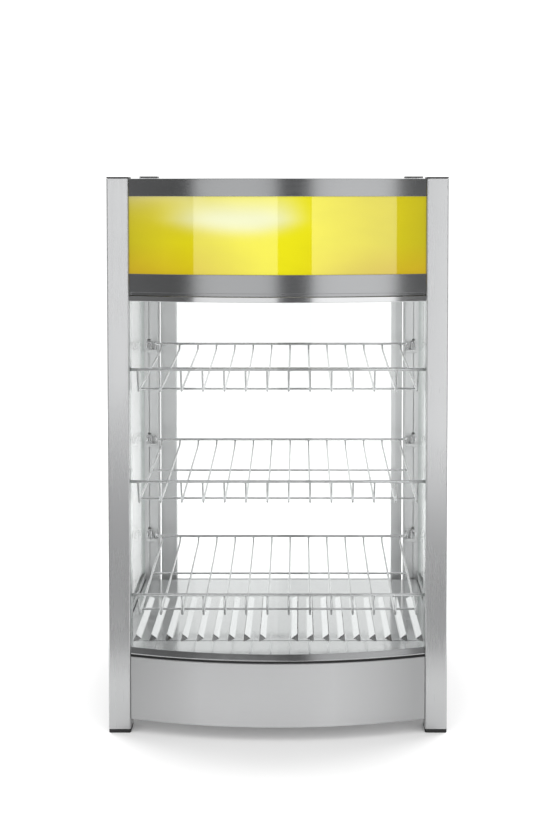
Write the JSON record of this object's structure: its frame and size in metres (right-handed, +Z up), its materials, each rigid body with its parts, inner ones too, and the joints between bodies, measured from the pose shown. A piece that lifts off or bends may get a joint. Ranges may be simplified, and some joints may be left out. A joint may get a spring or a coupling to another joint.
{
  "type": "heated display cabinet",
  "caption": "Counter-top heated holding cabinet with square steel posts, a bowed glass front, a lit yellow sign, sloping wire shelves, a louvred hot deck and a hinged glass rear door.",
  "frame": {"origin": "middle of the cabinet's footprint over the bow of the front and the door handle, on the table under the feet", "axes": "+Z up, the bowed display front faces -Y, the glass door and the controls face +Y, +X to the right seen from the front"},
  "size_m": [0.46, 0.432, 0.7604],
  "materials": {
    "steel": "brushed",
    "polished_steel": "polished",
    "post_steel": "satin",
    "chrome_wire": "polished",
    "black_plastic": "matte",
    "rubber": "matte",
    "sign_yellow": "gloss",
    "clear_glass": "clear",
    "element_sheath": "satin",
    "lamp_glass": "satin",
    "white_plastic": "satin",
    "red_plastic": "gloss"
  },
  "bodies": {
    "cabinet": {"base_front_fascia": "steel", "base_side_panel_left": "steel", "base_side_panel_right": "steel", "base_rear_panel": "steel", "base_bottom_plate": "steel", "canopy_bottom_band": "steel", "canopy_top_band": "steel", "canopy_side_panel_left": "steel", "canopy_side_panel_right": "steel", "canopy_rear_panel": "steel", "canopy_lid": "steel", "shelf_bracket_top_left": "steel", "shelf_bracket_top_right": "steel", "shelf_bracket_middle_left": "steel", "shelf_bracket_middle_right": "steel", "shelf_bracket_bottom_left": "steel", "shelf_bracket_bottom_right": "steel", "louvre_deck": "polished_steel", "lower_glass_channel": "polished_steel", "upper_glass_channel": "polished_steel", "ceiling_panel": "polished_steel", "post_front_left": "post_steel", "post_front_right": "post_steel", "post_rear_left": "post_steel", "post_rear_right": "post_steel", "door_pivot_bottom": "post_steel", "door_pivot_top": "post_steel", "post_cap_front_left": "black_plastic", "post_cap_front_right": "black_plastic", "post_cap_rear_left": "black_plastic", "post_cap_rear_right": "black_plastic", "magnetic_catch": "black_plastic", "power_switch_body": "black_plastic", "light_switch_body": "black_plastic", "cable_gland": "black_plastic", "foot_front_left": "rubber", "foot_front_right": "rubber", "foot_rear_left": "rubber", "foot_rear_right": "rubber", "sill_gasket": "rubber", "sign_panel": "sign_yellow", "front_glass": "clear_glass", "side_glass_left": "clear_glass", "side_glass_right": "clear_glass", "heating_element": "element_sheath", "thermostat_body": "element_sheath", "lamp_tube": "lamp_glass", "lamp_batten": "white_plastic"},
    "door": {"door_stile_hinge_side": "post_steel", "door_stile_handle_side": "post_steel", "door_bottom_rail": "post_steel", "door_top_rail": "post_steel", "door_glass": "clear_glass", "door_handle": "black_plastic"},
    "wire_shelf_top": {"shelf_top": "chrome_wire"},
    "wire_shelf_middle": {"shelf_middle": "chrome_wire"},
    "wire_shelf_bottom": {"shelf_bottom": "chrome_wire"},
    "knob": {"thermostat_knob": "black_plastic"},
    "power_rocker": {"power_switch_rocker": "red_plastic"},
    "light_rocker": {"light_switch_rocker": "white_plastic"}
  },
  "joints": [
    {"name": "door_hinge", "type": "hinge", "parent": "cabinet", "child": "door", "pos_m": [0.1915, 0.18248, 0.32925], "axis": [0, 0, -1], "range_deg": [0, 110]},
    {"name": "shelf_top_lift", "type": "slide", "parent": "cabinet", "child": "wire_shelf_top", "axis": [0, 0, 1], "range_m": [0, 0.011]},
    {"name": "shelf_middle_lift", "type": "slide", "parent": "cabinet", "child": "wire_shelf_middle", "axis": [0, 0, 1], "range_m": [0, 0.011]},
    {"name": "shelf_bottom_lift", "type": "slide", "parent": "cabinet", "child": "wire_shelf_bottom", "axis": [0, 0, 1], "range_m": [0, 0.011]},
    {"name": "thermostat_turn", "type": "hinge", "parent": "cabinet", "child": "knob", "pos_m": [-0.062, 0.18478, 0.043], "axis": [0, -1, 0], "range_deg": [0, 270]},
    {"name": "power_rocker_tilt", "type": "hinge", "parent": "cabinet", "child": "power_rocker", "pos_m": [0.066, 0.18098, 0.043], "axis": [1, 0, 0], "range_deg": [0, 16]},
    {"name": "light_rocker_tilt", "type": "hinge", "parent": "cabinet", "child": "light_rocker", "pos_m": [0.022, 0.18098, 0.043], "axis": [1, 0, 0], "range_deg": [0, 16]}
  ]
}
